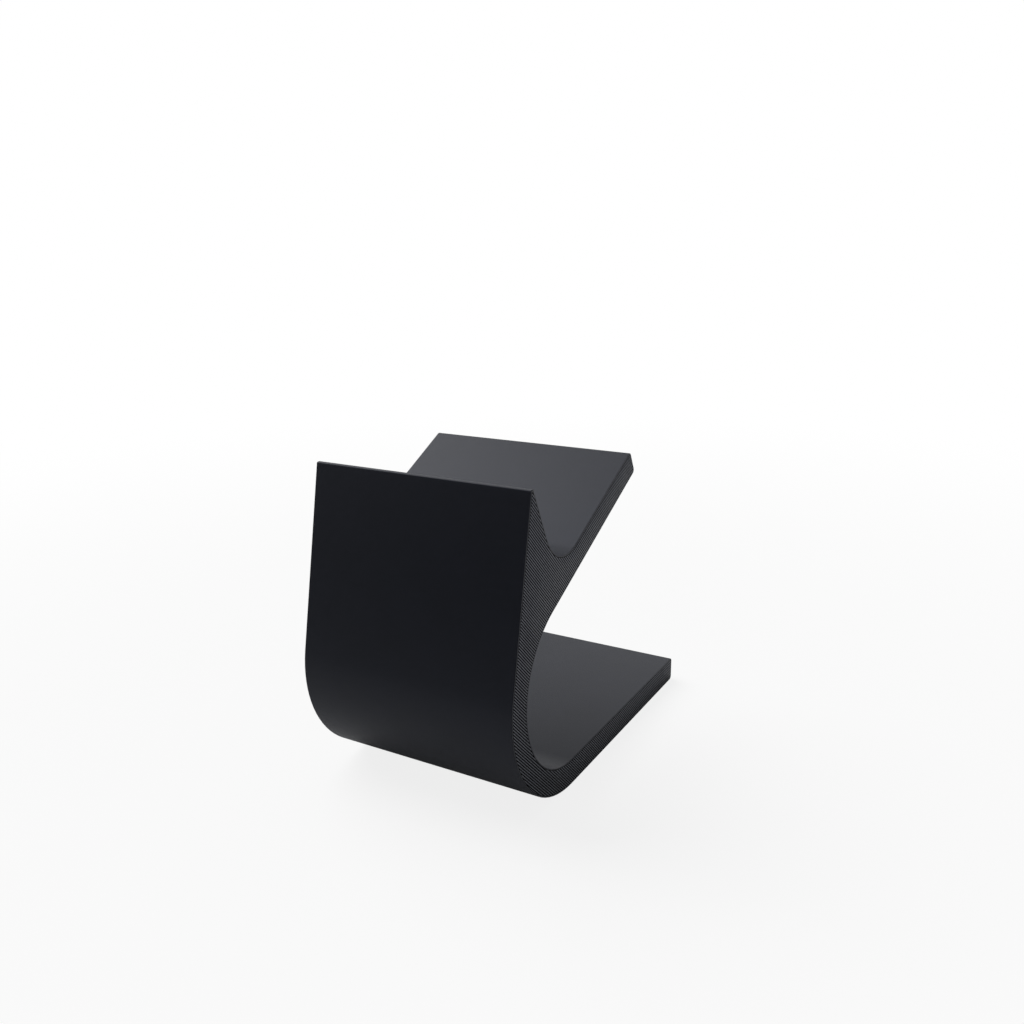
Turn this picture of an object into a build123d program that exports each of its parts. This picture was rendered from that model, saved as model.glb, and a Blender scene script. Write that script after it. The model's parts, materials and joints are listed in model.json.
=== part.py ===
"""One-piece bent stand: flat base, round bend, leaning front wall, lip, groove and rising arm.

Frame in millimetres: X runs across the width, Y from the front wall to the base's free end,
Z up. The origin is on the surface that the base rests on, at the middle of the whole outline.
"""
from build123d import *
from math import cos, radians, sin
import os

# Sizes that can be set one by one
stand_width = 47.0      # across, along X
stand_height = 64.4     # floor to the lip's tip
base_length = 77.7      # front of the bend to the base's free end
wall = 5.5              # base, bend and lower front wall
bend_radius = 18.0      # inside of the bend
front_lean = 11.2       # degrees from upright, front face leaning back
arm_rise = 26.8         # degrees from level, arm's underside
arm_length = 41.0       # along the underside, from the bend to the arm's free end
arm_thickness = 5.1
lip_lean = 25.1         # degrees from upright, lip's inner face
tip_width = 0.9         # narrow land on top of the lip
tip_round = 0.3         # front and back corner of that land
groove_radius = 8.4     # round bottom between lip and arm
end_round = 0.8         # corners of the two free ends
edge_break = 0.3        # small bevel round both side faces

# Worked out from them
outer_radius = bend_radius + wall
front_y = -base_length / 2
rear_y = base_length / 2
bend_y = front_y + outer_radius
bend_z = outer_radius

# The outline is drawn in the Y-Z plane, where a direction of 90 degrees points up
front_direction = 90 - front_lean
lip_direction = -(90 - lip_lean)

with BuildPart() as stand:
    with BuildSketch(Plane.YZ) as side:
        with BuildLine() as outline:
            # Outer skin: floor face, bend, front face, lip's tip
            floor_face = Line((rear_y, 0), (bend_y, 0))
            outer_bend = JernArc(floor_face @ 1, floor_face % 1, outer_radius, -(90 + front_lean))
            front_rise = stand_height - (outer_bend @ 1).Y
            front_face = PolarLine(outer_bend @ 1, front_rise / cos(radians(front_lean)), front_direction)
            tip = Line(front_face @ 1, front_face @ 1 + Vector(tip_width, 0))

            # Arm: its underside leaves the bend at a tangent, its top is parallel to it
            across_arm = Vector(-sin(radians(arm_rise)), cos(radians(arm_rise)))
            arm_root = Vector(bend_y, bend_z) + across_arm * bend_radius
            underside = PolarLine(arm_root, arm_length, arm_rise)
            arm_end = Line(underside @ 1, underside @ 1 + across_arm * arm_thickness)

            # Lip's inner face and the arm's top meet in the corner that becomes the groove
            lip_line = PolarLine(tip @ 1, stand_height, lip_direction, mode=Mode.PRIVATE)
            arm_top = IntersectingLine(arm_end @ 1, -(underside % 1), lip_line)
            lip_face = Line(tip @ 1, arm_top @ 1)

            # Inner skin: bend, top of the base, free end
            inner_bend = JernArc((bend_y, wall), (-1, 0), bend_radius, -(180 - arm_rise))
            base_top = Line((bend_y, wall), (rear_y, wall))
            base_end = Line(base_top @ 1, floor_face @ 0)
        make_face()

        # Round the groove, the lip's tip and the two free ends, each no more than its wall allows
        rounded = (
            (min(groove_radius, 0.8 * lip_face.length), [lip_face @ 1]),
            (min(tip_round, tip_width / 3), [tip @ 0, tip @ 1]),
            (min(end_round, arm_thickness / 3), [arm_end @ 0, arm_end @ 1]),
            (min(end_round, wall / 3), [base_end @ 0, base_end @ 1]),
        )
        for radius, corners in rounded:
            fillet([side.vertices().sort_by_distance(corner)[0] for corner in corners], radius)
    extrude(amount=stand_width / 2, both=True)

    # Break the sharp edges of both side faces
    side_edges = stand.faces().sort_by(Axis.X)[0].edges() + stand.faces().sort_by(Axis.X)[-1].edges()
    chamfer(side_edges, min(edge_break, tip_width / 4))

stand.part.label = "stand"
os.makedirs("parts", exist_ok=True)
export_step(stand.part, "parts/stand.step")
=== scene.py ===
# Printed desk stand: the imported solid's one node, dressed as a real print with its layers and lines
import json
import math

import bmesh
import bpy
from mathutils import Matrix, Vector

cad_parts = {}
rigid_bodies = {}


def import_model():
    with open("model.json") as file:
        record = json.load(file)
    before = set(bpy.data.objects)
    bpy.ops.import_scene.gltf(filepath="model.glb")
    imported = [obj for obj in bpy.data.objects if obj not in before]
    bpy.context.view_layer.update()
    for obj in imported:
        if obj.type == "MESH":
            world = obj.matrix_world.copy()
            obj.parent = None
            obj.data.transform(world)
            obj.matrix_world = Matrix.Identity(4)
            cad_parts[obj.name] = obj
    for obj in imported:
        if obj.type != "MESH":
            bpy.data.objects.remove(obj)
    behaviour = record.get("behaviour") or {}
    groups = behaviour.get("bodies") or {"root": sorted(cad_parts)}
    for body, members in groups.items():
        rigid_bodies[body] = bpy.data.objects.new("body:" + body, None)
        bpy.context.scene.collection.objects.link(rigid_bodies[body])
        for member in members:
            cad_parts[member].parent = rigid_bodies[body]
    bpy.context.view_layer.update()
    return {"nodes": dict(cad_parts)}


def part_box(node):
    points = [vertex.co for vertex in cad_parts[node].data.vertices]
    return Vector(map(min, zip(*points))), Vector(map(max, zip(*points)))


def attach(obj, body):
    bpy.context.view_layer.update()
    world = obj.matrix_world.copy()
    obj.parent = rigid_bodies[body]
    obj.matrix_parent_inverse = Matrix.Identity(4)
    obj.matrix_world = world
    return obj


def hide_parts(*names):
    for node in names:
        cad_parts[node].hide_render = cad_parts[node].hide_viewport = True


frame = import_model()
bpy.ops.object.select_all(action="DESELECT")
standLow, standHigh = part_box("stand")
print("frame loaded:", sorted(frame["nodes"]))

mm = 0.001
nearPoint = 0.01 * mm        # a point this near to a place is the one that is meant
samePoint = 0.001 * mm       # points this near to each other are merged
cutSlack = 0.0005 * mm       # points this near to a cut lie on it


# Shared helpers

def linearColor(hexValue):
    parts = [int(hexValue[i:i + 2], 16) / 255 for i in (1, 3, 5)]
    return [p / 12.92 if p <= 0.04045 else ((p + 0.055) / 1.055) ** 2.4 for p in parts] + [1.0]


def addNode(tree, kind, values=None, links=None, **settings):
    node = tree.nodes.new(kind)
    for name, value in settings.items():
        setattr(node, name, value)
    for socket, value in (values or {}).items():
        node.inputs[socket].default_value = value
    for socket, source in (links or {}).items():
        tree.links.new(source, node.inputs[socket])
    return node


def emptyMaterial(name):
    material = bpy.data.materials.new(name)
    material.use_nodes = True
    material.node_tree.nodes.clear()
    return material


def selectOnly(piece):
    bpy.ops.object.select_all(action="DESELECT")
    piece.select_set(True)
    bpy.context.view_layer.objects.active = piece


def selectWhere(mesh, test, kind="verts"):
    # In edit mode, selects what passes the test and nothing else
    edit = bmesh.from_edit_mesh(mesh)
    for group in (edit.verts, edit.edges, edit.faces):
        for element in group:
            element.select = False
    for element in getattr(edit, kind):
        if not element.hide and test(element):
            element.select_set(True)
    edit.select_flush_mode()
    bmesh.update_edit_mesh(mesh)


# Side outline in mm and degrees. Length and height come from the frame.
outline = {
    "wall": 5.5,             # base, bend and lower front wall
    "bendRadius": 18.0,      # inside of the bend
    "frontLean": 11.2,       # front face, from upright
    "armRise": 26.8,         # arm, from level
    "armLength": 41.0,       # along its underside
    "armThickness": 5.1,
    "lipLean": 25.1,         # lip's inner face, from upright
    "tipWidth": 0.9,
    "tipRound": 0.3,
    "tipSegments": 3,
    "grooveRadius": 8.4,
    "grooveSegments": 14,
    "endRound": 0.8,         # corners of the arm's and the base's free ends
    "endSegments": 4,
    "arcStep": 4.0,          # degrees in one segment of the bend
}


def upwards(angle):
    # Direction in the side plane: 0 points along +Y and 90 along +Z
    return Vector((0, math.cos(math.radians(angle)), math.sin(math.radians(angle))))


def extendTo(point, here):
    bpy.ops.mesh.extrude_vertices_move(TRANSFORM_OT_translate={"value": point - here})
    return point


def turnRound(centre, angle, here):
    # Positive angles turn from +Y towards +Z
    steps = round(abs(angle) / outline["arcStep"])
    bpy.ops.mesh.spin(steps=steps, angle=-math.radians(angle), center=centre, axis=(1, 0, 0))
    arm = here - centre
    turn = math.atan2(arm.z, arm.y) + math.radians(angle)
    return centre + Vector((0, math.cos(turn), math.sin(turn))) * arm.length


def roundCorner(mesh, corner, radius, turn, segments):
    # turn is the angle in degrees by which the outline changes its direction at the corner
    selectWhere(mesh, lambda v: (v.co - corner).length < nearPoint)
    slide = radius * math.tan(math.radians(turn) / 2)
    bpy.ops.mesh.bevel(offset=slide, segments=segments, affect="VERTICES", profile=0.5)


def drawOutline():
    # One vertex is drawn out round the side view, as a wire in the plane X = 0, then filled
    wall, inner = outline["wall"] * mm, outline["bendRadius"] * mm
    outer = inner + wall
    rear = standHigh.y
    bendCentre = Vector((0, standLow.y + outer, outer))
    frontWay = upwards(90 - outline["frontLean"])
    armWay, armUp = upwards(outline["armRise"]), upwards(90 + outline["armRise"])
    lipWay = upwards(outline["lipLean"] - 90)

    bpy.ops.mesh.primitive_plane_add(size=wall)
    piece = bpy.context.object
    bpy.ops.object.mode_set(mode="EDIT")
    bpy.ops.mesh.merge(type="CENTER")
    start = Vector((0, rear, 0))
    bpy.ops.transform.translate(value=start)

    # Outer skin: floor face, bend, front face, tip
    here = extendTo(Vector((0, bendCentre.y, 0)), start)
    here = turnRound(bendCentre, -(90 + outline["frontLean"]), here)
    tipFront = here + frontWay * (standHigh.z - here.z) / frontWay.z
    here = extendTo(tipFront, here)
    tipRear = tipFront + Vector((0, outline["tipWidth"] * mm, 0))
    here = extendTo(tipRear, here)

    # Lip's inner face down to the groove's corner, then the arm's top, end and underside
    armRoot = bendCentre + armUp * inner
    armTop = armRoot + armUp * outline["armThickness"] * mm
    reach = (armTop - tipRear).dot(armUp) / lipWay.dot(armUp)
    grooveCorner = tipRear + lipWay * reach
    armEndTop = armTop + armWay * outline["armLength"] * mm
    armEndLow = armRoot + armWay * outline["armLength"] * mm
    for point in (grooveCorner, armEndTop, armEndLow, armRoot):
        here = extendTo(point, here)

    # Inner skin: bend, base's top and free end, closed on the first vertex
    here = turnRound(bendCentre, 180 - outline["armRise"], here)
    baseEndTop = Vector((0, rear, wall))
    for point in (baseEndTop, start):
        here = extendTo(point, here)
    bpy.ops.mesh.select_all(action="SELECT")
    bpy.ops.mesh.remove_doubles(threshold=samePoint)
    bpy.ops.mesh.edge_face_add()

    mesh = piece.data
    tipRound, endRound = outline["tipRound"] * mm, outline["endRound"] * mm
    grooveTurn = 180 - math.degrees((-lipWay).angle(armWay))
    roundCorner(mesh, grooveCorner, outline["grooveRadius"] * mm, grooveTurn, outline["grooveSegments"])
    roundCorner(mesh, tipFront, tipRound, 90 - outline["frontLean"], outline["tipSegments"])
    roundCorner(mesh, tipRear, tipRound, 90 - outline["lipLean"], outline["tipSegments"])
    for corner in (armEndTop, armEndLow, baseEndTop, start):
        roundCorner(mesh, corner, endRound, 90, outline["endSegments"])
    bpy.ops.object.mode_set(mode="OBJECT")
    return piece


outlineFace = drawOutline()
print("outline drawn:", len(outlineFace.data.vertices), "points,", len(outlineFace.data.polygons), "face")


# The print lay on its left side face. Sizes in mm.
print3d = {
    "layerHeight": 0.2,
    "layerFlat": 0.36,       # share of a layer's height between the slopes into its two seams
    "layerDip": 0.022,       # how far the seam between two layers lies back
    "lineWidth": 0.45,       # one extruded line on the side faces
    "shoulder": 0.4,         # share of a line's width that its rounded flank takes
    "contourDrop": 0.4,      # share of the relief that the line along the outline lies under the fill
    "fillAngle": 135.0,      # slanted fill, in degrees from +Y towards +Z
    "edgeRound": 0.13,       # rounded outer edge of the line along the outline
    "edgeFacets": ((0.3, 0.62), (0.6, 0.38)),    # inset and rise of its two facets, as shares of it
    "turnBack": 0.04,        # where each fill line turns back at the line along the outline
    "shortEdge": 0.16,       # corner edges under this are drawn together
    "topRelief": 0.09,       # depth of the grooves on the right side face, laid last
    "bedRelief": 0.03,       # and on the left one, pressed flat on the bed
    "smoothUnder": 50.0,     # degrees between two facets that are shaded as one round
}


# Black PLA filament, laid hot through a nozzle: it sets satin. The grooves between two
# lines on the side faces are given painted shade: a darker colour and less mirror light
plastic = {
    "body": "#1d1f27",
    "bodyDark": "#191b21",
    # painted shade: the colour at the bottom of the grooves on the side faces
    "groove": "#0a0b0d",
    "gloss": "#e9eeff",      # black pigment leaves its mirror light slightly blue
    "roughness": 0.46,
    "specular": 0.2,         # fine layers scatter part of the mirror light
    "lineSpecular": (1.02, 1.18),    # crest of a line on a side face, in the dullest and glossiest patch
    "patchSize": 2.5,        # mm
    "patchSpan": (0.35, 0.65),       # noise values that give those two
    "crest": 0.65,           # share of the relief over which the painted groove shade fades out towards a line's crest
    "bedGrooveLight": 0.4,   # share of a crest's colour and mirror light kept in the bed side's shallow grooves, so their painted shade is lighter
    "ior": 1.5,
    "cloudSize": 9.0,        # mm, slow change of tone along a print
    "grainSize": 0.09,       # mm, matt grain of the set surface
    "grainDepth": 0.002,     # mm
}


def makePlastic(name, relief=None, grooveLight=0.0):
    # relief is the depth in mm of the grooves on a side face, grooveLight the share of a crest's colour and
    # mirror light that the painted shade in the grooves keeps
    material = emptyMaterial(name)
    tree = material.node_tree
    place = addNode(tree, "ShaderNodeTexCoord").outputs["Object"]
    cloud = addNode(tree, "ShaderNodeTexNoise", {"Scale": 1 / (plastic["cloudSize"] * mm), "Detail": 3.0},
                    {"Vector": place}).outputs["Fac"]
    tones = {"A": linearColor(plastic["body"]), "B": linearColor(plastic["bodyDark"])}
    colour = addNode(tree, "ShaderNodeMix", tones, {"Factor": cloud}, data_type="RGBA").outputs["Result"]
    grain = addNode(tree, "ShaderNodeTexNoise", {"Scale": 1 / (plastic["grainSize"] * mm), "Detail": 2.0},
                    {"Vector": place}).outputs["Fac"]
    bump = addNode(tree, "ShaderNodeBump", {"Distance": plastic["grainDepth"] * mm},
                   {"Height": grain}).outputs[0]
    values = {"IOR": plastic["ior"], "Roughness": plastic["roughness"],
              "Specular Tint": linearColor(plastic["gloss"])}
    links = {"Normal": bump}
    if relief:
        # Mask of the painted groove shade: 0 in a groove and 1 on a line's crest
        across = addNode(tree, "ShaderNodeSeparateXYZ", {}, {0: place}).outputs["X"]
        outwards = addNode(tree, "ShaderNodeMath", {}, {0: across}, operation="ABSOLUTE").outputs[0]
        rise = {"From Min": standHigh.x - plastic["crest"] * relief * mm, "From Max": standHigh.x,
                "To Min": grooveLight}
        height = addNode(tree, "ShaderNodeMapRange", rise, {"Value": outwards},
                         interpolation_type="SMOOTHSTEP").outputs[0]
        # Painted shade: the colour darkens towards the bottom of each groove
        colour = addNode(tree, "ShaderNodeMix", {"A": linearColor(plastic["groove"])},
                         {"Factor": height, "B": colour}, data_type="RGBA").outputs["Result"]
        patchScale = 1 / (plastic["patchSize"] * mm)
        patches = addNode(tree, "ShaderNodeTexNoise", {"Scale": patchScale, "Detail": 2.0},
                          {"Vector": place}).outputs["Fac"]
        low, high = plastic["patchSpan"]
        dullest, glossiest = plastic["lineSpecular"]
        gloss = addNode(tree, "ShaderNodeMapRange",
                        {"From Min": low, "From Max": high, "To Min": dullest, "To Max": glossiest},
                        {"Value": patches}).outputs[0]
        # Painted shade in the mirror light too: the specular level falls towards each groove's bottom
        links["Specular IOR Level"] = addNode(tree, "ShaderNodeMath", {}, {0: height, 1: gloss},
                                              operation="MULTIPLY").outputs[0]
    else:
        values["Specular IOR Level"] = plastic["specular"]
    shader = addNode(tree, "ShaderNodeBsdfPrincipled", values, {**links, "Base Color": colour})
    addNode(tree, "ShaderNodeOutputMaterial", {}, {"Surface": shader.outputs[0]})
    return material


# The walls' finish is the first slot, so every face has it until another is chosen
for material in (makePlastic("blackPlaWalls"),
                 makePlastic("blackPlaLastLayer", print3d["topRelief"]),
                 makePlastic("blackPlaBedSide", print3d["bedRelief"], plastic["bedGrooveLight"])):
    outlineFace.data.materials.append(material)
print("plastic made")


def selectLargest(mesh):
    edit = bmesh.from_edit_mesh(mesh)
    edit.faces.index_update()
    largest = max(edit.faces, key=lambda f: f.calc_area()).index
    bpy.ops.mesh.select_mode(type="FACE")
    selectWhere(mesh, lambda f: f.index == largest, "faces")


def insetBy(width, rise):
    # Insets the selected face, then draws the corners' short edges together
    bpy.ops.mesh.inset(thickness=width * mm, depth=rise * mm, use_even_offset=True)
    mesh = bpy.context.object.data
    edit = bmesh.from_edit_mesh(mesh)
    inner = max((f for f in edit.faces if f.select), key=lambda f: f.calc_area())
    rim = {e.index for e in inner.edges if e.calc_length() < print3d["shortEdge"] * mm}
    if rim:
        selectWhere(mesh, lambda e: e.index in rim, "edges")
        bpy.ops.mesh.merge(type="COLLAPSE")
    selectLargest(mesh)


def makeSideFace(name, side, relief, finish):
    # side is 1 for the right face and -1 for the left one, finish is its material's name
    selectOnly(outlineFace)
    bpy.ops.object.duplicate()
    piece = bpy.context.object
    piece.name = name
    mesh = piece.data
    slot = mesh.materials.find(finish)
    line, shoulder, edge = print3d["lineWidth"], print3d["shoulder"], print3d["edgeRound"]
    drop = print3d["contourDrop"] * relief
    bpy.ops.object.mode_set(mode="EDIT")
    bpy.ops.mesh.select_mode(type="FACE")
    bpy.ops.mesh.select_all(action="SELECT")
    if (mesh.polygons[0].normal.x > 0) != (side > 0):
        bpy.ops.mesh.flip_normals()
    bpy.ops.transform.translate(value=(side * (standHigh.x - edge * mm), 0, 0))

    # The line along the outline: its rounded edge, its top, and its flank down to the fill's grooves
    (firstInset, firstRise), (secondInset, secondRise) = print3d["edgeFacets"]
    insetBy(firstInset * edge, firstRise * edge)
    insetBy(secondInset * edge, secondRise * edge - drop)
    for face in bmesh.from_edit_mesh(mesh).faces:
        face.material_index = slot if face.select else 0     # the rounded edge keeps the walls' finish
    insetBy((1 - shoulder) * line - (firstInset + secondInset) * edge, 0)
    insetBy(shoulder * line / 2, drop - relief)
    insetBy(print3d["turnBack"], 0)

    # Slanted fill: cuts along each line's valley and shoulders, then the lines are raised. The cuts
    # go on through the ring where they turn back, which stays low at its outer rim.
    bpy.ops.mesh.select_more()
    bpy.ops.mesh.hide(unselected=True)
    across = upwards(print3d["fillAngle"] - 90)
    reach = [v.co.dot(across) / mm for v in mesh.vertices]
    for lineNumber in range(math.floor(min(reach) / line), math.ceil(max(reach) / line) + 1):
        for share in (0, shoulder, 1 - shoulder):
            bpy.ops.mesh.select_all(action="SELECT")
            cut = across * (lineNumber + share) * line * mm
            bpy.ops.mesh.bisect(plane_co=cut, plane_no=across, threshold=cutSlack)
    edit = bmesh.from_edit_mesh(mesh)
    for v in edit.verts:
        if not v.hide and not any(face.hide for face in v.link_faces):
            phase = (v.co.dot(across) / mm / line) % 1
            v.co.x += side * relief * mm * min(1, min(phase, 1 - phase) / shoulder)
    bmesh.update_edit_mesh(mesh)
    bpy.ops.mesh.reveal(select=False)
    bpy.ops.object.mode_set(mode="OBJECT")
    return piece


rightFace = makeSideFace("rightFace", 1, print3d["topRelief"], "blackPlaLastLayer")
leftFace = makeSideFace("leftFace", -1, print3d["bedRelief"], "blackPlaBedSide")
print("side faces laid:", len(rightFace.data.polygons), "and", len(leftFace.data.polygons), "faces")


def makeWalls():
    # One layer of the outline, repeated across the width
    piece = outlineFace
    mesh = piece.data
    half = standHigh.x - print3d["edgeRound"] * mm
    layers = round(2 * half / (print3d["layerHeight"] * mm))
    height = 2 * half / layers
    flat = print3d["layerFlat"] * height
    slope = (height - flat) / 2
    selectOnly(piece)
    bpy.ops.object.mode_set(mode="EDIT")
    bpy.ops.mesh.select_mode(type="EDGE")
    bpy.ops.mesh.select_all(action="SELECT")
    bpy.ops.mesh.delete(type="ONLY_FACE")
    bpy.ops.mesh.select_all(action="SELECT")
    bpy.ops.transform.translate(value=(-half, 0, 0))
    for step in (flat, slope, slope):        # rounded line, then down into the seam and out of it
        bpy.ops.mesh.extrude_edges_move(TRANSFORM_OT_translate={"value": (step, 0, 0)})
    bpy.ops.mesh.select_mode(type="VERT")
    bpy.ops.mesh.select_all(action="SELECT")
    bpy.ops.mesh.normals_make_consistent(inside=False)
    seam = -half + flat + slope
    selectWhere(mesh, lambda v: abs(v.co.x - seam) < nearPoint)
    bpy.ops.transform.shrink_fatten(value=-print3d["layerDip"] * mm)
    bpy.ops.object.mode_set(mode="OBJECT")
    stack = piece.modifiers.new("layers", "ARRAY")
    stack.count = layers
    stack.use_relative_offset = False
    stack.use_constant_offset = True
    stack.constant_offset_displace = (height, 0, 0)
    stack.use_merge_vertices = True
    stack.merge_threshold = samePoint
    bpy.ops.object.modifier_apply(modifier=stack.name)
    return piece


walls = makeWalls()
print("walls stacked:", len(walls.data.polygons), "faces")


def joinStand():
    selectOnly(walls)
    for part in (rightFace, leftFace):
        part.select_set(True)
    bpy.ops.object.join()
    piece = bpy.context.object
    piece.name = "printedStand"
    bpy.ops.object.mode_set(mode="EDIT")
    bpy.ops.mesh.select_mode(type="VERT")
    bpy.ops.mesh.select_all(action="SELECT")
    bpy.ops.mesh.remove_doubles(threshold=samePoint)
    bpy.ops.mesh.normals_make_consistent(inside=False)
    bpy.ops.object.mode_set(mode="OBJECT")
    bpy.ops.object.shade_smooth_by_angle(angle=math.radians(print3d["smoothUnder"]))
    return piece


stand = joinStand()
print("stand joined:", len(stand.data.vertices), "points")


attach(stand, "root")
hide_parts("stand")
print("stand dressed")


# Studio: white floor and background, one broad lamp from the left, and a dark standing board and a
# dark lying mat on the camera's side. Lengths in metres, angles in degrees.
studio = {
    "floorSize": 8.0,
    "floorTone": "#f0f0f0",
    "nearWhite": (0.84, 0.1),     # share of white in the floor near the stand, for camera and reflections
    "whiteFrom": (0.06, 0.4),     # distance where that starts to rise, and where all is white
    "worldFill": 0.32,            # light of the background on the object
    "lampStrength": 2.3,
    "lampAngle": 50.0,            # width of the lamp, for a soft edge to the shadow
    "lampTurn": (38.0, 0.0, 264.0),
    "boardTone": "#282828",
    "boardSize": 3.0,
    "boardPlace": (0.25, -0.7),   # middle of its lower edge, along X and Y
    "boardTurn": 20.0,            # about Z
    "matDistance": 0.18,          # from the origin to its near edge, which ends the bend's bright band
    "matLift": 0.0005,            # over the floor
}
white = linearColor("#ffffff")


def seenDirectly(tree):
    # Two sockets that are 1 for the camera's rays, and for a reflection's or a clear body's rays
    rays = addNode(tree, "ShaderNodeLightPath").outputs
    mirror = addNode(tree, "ShaderNodeMath", {}, {0: rays["Is Glossy Ray"], 1: rays["Is Transmission Ray"]},
                     operation="MAXIMUM").outputs[0]
    return rays["Is Camera Ray"], mirror


def makeFloor():
    bpy.ops.mesh.primitive_plane_add(size=studio["floorSize"])
    floor = bpy.context.object
    floor.name = "floor"
    material = emptyMaterial("paintedFloor")
    tree = material.node_tree
    paint = addNode(tree, "ShaderNodeBsdfDiffuse", {"Color": linearColor(studio["floorTone"])}).outputs[0]
    glow = addNode(tree, "ShaderNodeEmission", {"Color": white, "Strength": 1.0}).outputs[0]
    place = addNode(tree, "ShaderNodeTexCoord").outputs["Object"]
    away = addNode(tree, "ShaderNodeVectorMath", {}, {0: place}, operation="LENGTH").outputs["Value"]
    first, last = studio["whiteFrom"]
    shares = []
    for seen, near in zip(seenDirectly(tree), studio["nearWhite"]):
        rise = {"From Min": first, "From Max": last, "To Min": near, "To Max": 1.0}
        whiteness = addNode(tree, "ShaderNodeMapRange", rise, {"Value": away},
                            interpolation_type="SMOOTHSTEP").outputs[0]
        shares.append(addNode(tree, "ShaderNodeMath", {}, {0: seen, 1: whiteness},
                              operation="MULTIPLY").outputs[0])
    share = addNode(tree, "ShaderNodeMath", {}, {0: shares[0], 1: shares[1]},
                    operation="MAXIMUM").outputs[0]
    mixed = addNode(tree, "ShaderNodeMixShader", {}, {0: share, 1: paint, 2: glow}).outputs[0]
    addNode(tree, "ShaderNodeOutputMaterial", {}, {"Surface": mixed})
    floor.data.materials.append(material)


def makeWorld():
    world = bpy.data.worlds.new("studioWorld")
    bpy.context.scene.world = world
    world.use_nodes = True
    tree = world.node_tree
    tree.nodes.clear()
    fill, plain = [addNode(tree, "ShaderNodeBackground", {"Color": white, "Strength": strength}).outputs[0]
                   for strength in (studio["worldFill"], 1.0)]
    camera, mirror = seenDirectly(tree)
    share = addNode(tree, "ShaderNodeMath", {}, {0: camera, 1: mirror}, operation="MAXIMUM").outputs[0]
    mixed = addNode(tree, "ShaderNodeMixShader", {}, {0: share, 1: fill, 2: plain}).outputs[0]
    addNode(tree, "ShaderNodeOutputWorld", {}, {"Surface": mixed})


def makeLamp():
    bpy.ops.object.light_add(type="SUN", rotation=[math.radians(a) for a in studio["lampTurn"]])
    lamp = bpy.context.object
    lamp.name = "broadLamp"
    lamp.data.energy = studio["lampStrength"]
    lamp.data.angle = math.radians(studio["lampAngle"])


def makeBoards():
    # They keep white reflections off the front wall, and the camera sees neither
    material = emptyMaterial("greyCard")
    tree = material.node_tree
    paint = addNode(tree, "ShaderNodeBsdfDiffuse", {"Color": linearColor(studio["boardTone"])}).outputs[0]
    addNode(tree, "ShaderNodeOutputMaterial", {}, {"Surface": paint})
    size = studio["boardSize"]
    boardTurn = (math.radians(90), 0, math.radians(studio["boardTurn"]))
    bpy.ops.mesh.primitive_plane_add(size=size, rotation=boardTurn)
    upright = bpy.context.object
    upright.name = "greyBoard"
    upright.location = (*studio["boardPlace"], size / 2)
    bpy.ops.mesh.primitive_plane_add(size=size)
    lying = bpy.context.object
    lying.name = "greyMat"
    lying.location = (0, -studio["matDistance"] - size / 2, studio["matLift"])
    lying.visible_diffuse = False            # only reflections meet it, so it takes no light away
    lying.visible_shadow = False
    for board in (upright, lying):
        board.visible_camera = False
        board.data.materials.append(material)


makeFloor()
makeWorld()
makeLamp()
makeBoards()
print("studio lit")


# The photograph's viewpoint, found from the stand's own edges. Lengths in mm.
view = {
    "place": (101.65, -172.51, 107.65),
    "turn": (73.78, 0.77, 29.90),           # degrees
    "lens": 34.82,
    "sensor": 36.0,
    "nearest": 5.0,                         # anything nearer to the lens is left out
}


def placeCamera():
    bpy.ops.object.camera_add(location=[v * mm for v in view["place"]],
                              rotation=[math.radians(a) for a in view["turn"]])
    camera = bpy.context.object
    camera.data.lens = view["lens"]
    camera.data.sensor_width = view["sensor"]
    camera.data.clip_start = view["nearest"] * mm
    bpy.context.scene.camera = camera
    bpy.context.scene.view_settings.view_transform = "Standard"


placeCamera()
print("camera set")

print("stand done:", sum(len(face.vertices) - 2 for face in stand.data.polygons), "triangles")
